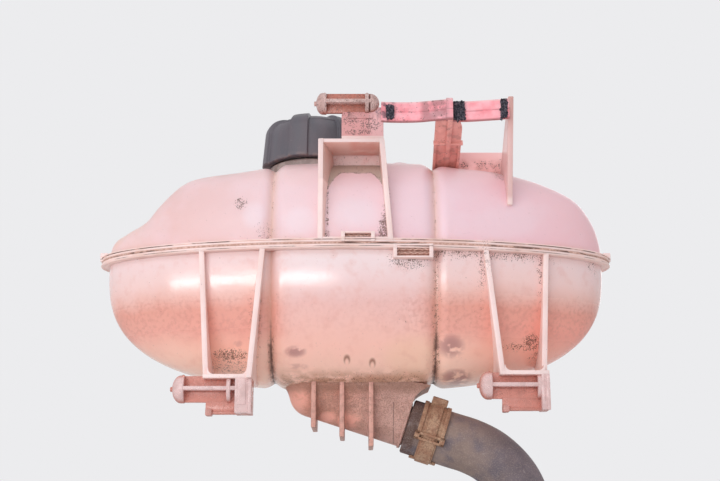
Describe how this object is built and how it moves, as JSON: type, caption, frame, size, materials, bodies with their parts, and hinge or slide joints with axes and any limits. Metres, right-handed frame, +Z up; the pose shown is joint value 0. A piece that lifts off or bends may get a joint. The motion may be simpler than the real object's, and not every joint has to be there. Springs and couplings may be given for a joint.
{
  "type": "coolant expansion tank",
  "caption": "Welded plastic coolant expansion tank for a car, with locating pegs, brackets, a screw cap that holds pressure and vacuum valves, and an outlet hose on a spring clamp.",
  "frame": {"origin": "middle of the left lower peg's front ring, on the peg's axis", "axes": "+X along the tank from the left end to the right end, +Y from the bracket side to the back, +Z up as the tank is mounted"},
  "size_m": [0.3279, 0.1243, 0.3654],
  "materials": {
    "upper_plastic": "milky moulded plastic, slightly glossy",
    "lower_plastic": "milky moulded plastic stained by old coolant",
    "hose_rubber": "dull black rubber, dusty",
    "clamp_steel": "spring steel with brown rust",
    "foam": "crumbling black foam",
    "cap_plastic": "dark grey moulded plastic, dusty",
    "ring_plastic": "plain moulded plastic",
    "valve_plastic": "black moulded plastic",
    "seal_rubber": "smooth black rubber",
    "spring_steel": "bright drawn wire",
    "valve_pin": "turned, satin"
  },
  "bodies": {
    "tank": {"upper_shell": "upper_plastic", "lower_shell": "lower_plastic", "coolant_hose": "hose_rubber", "hose_clamp": "clamp_steel", "foam_left": "foam", "foam_middle": "foam", "foam_right": "foam"},
    "cap_insert": {"valve_housing": "valve_plastic", "o_ring_upper": "seal_rubber", "o_ring_lower": "seal_rubber", "neck_gasket": "seal_rubber", "spring_retainer": "ring_plastic", "relief_spring": "spring_steel"},
    "cap": {"cap_shell": "cap_plastic", "cap_clip": "ring_plastic"},
    "relief": {"relief_valve": "valve_plastic", "relief_seal": "seal_rubber", "vacuum_spring": "spring_steel"},
    "vacuum": {"vacuum_valve": "valve_pin", "vacuum_seal": "seal_rubber"}
  },
  "joints": [
    {"name": "cap_lift", "type": "slide", "parent": "tank", "child": "cap_insert", "axis": [0, 0, 1], "range_m": [0, 0.009]},
    {"name": "cap_turn", "type": "hinge", "parent": "cap_insert", "child": "cap", "pos_m": [0.07105, 0.05, 0.1521], "axis": [0, 0, 1], "range_deg": [0, 900]},
    {"name": "relief_slide", "type": "slide", "parent": "cap_insert", "child": "relief", "axis": [0, 0, 1], "range_m": [0, 0.002], "stiffness_N_per_m": 800, "springref_m": -0.004, "deforming": ["relief_spring"]},
    {"name": "vacuum_slide", "type": "slide", "parent": "relief", "child": "vacuum", "axis": [0, 0, -1], "range_m": [0, 0.0012], "stiffness_N_per_m": 150, "springref_m": -0.004, "deforming": ["vacuum_spring"]}
  ],
  "couplings": [
    {"joint": "cap_lift", "follows": "cap_turn", "m_per_rad": 0.00057296}
  ]
}
